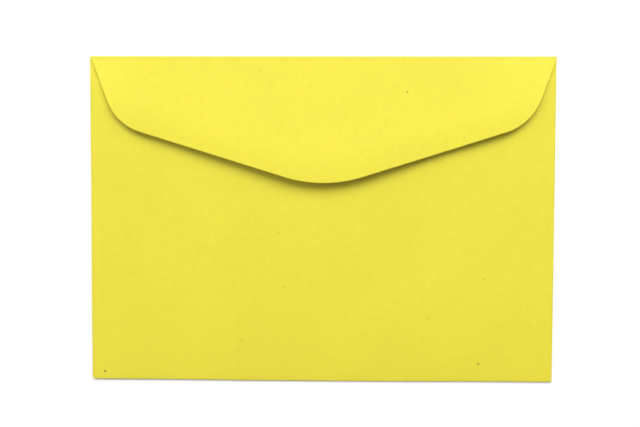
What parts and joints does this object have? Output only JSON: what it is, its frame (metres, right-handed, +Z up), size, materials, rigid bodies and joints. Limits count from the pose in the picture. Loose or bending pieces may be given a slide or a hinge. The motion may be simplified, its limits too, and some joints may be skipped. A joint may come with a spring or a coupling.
{
  "type": "paper envelope",
  "caption": "Flat recycled-paper wallet envelope: a glued pocket open at the throat, with a V-shaped seal flap folded over the back and springing up; holds cards and letters.",
  "frame": {"origin": "middle of the envelope's outline, on the outer face of the front panel that it lies on", "axes": "+X along the seal flap's fold, +Y from the bottom fold to the seal flap's fold, +Z up out of the back, on the seal flap's side"},
  "size_m": [0.162, 0.114, 0.0039],
  "materials": {
    "recycled_paper": "matte uncoated yellow recycled paper with dark flecks"
  },
  "bodies": {
    "root": {"envelope": "recycled_paper"}
  },
  "joints": []
}
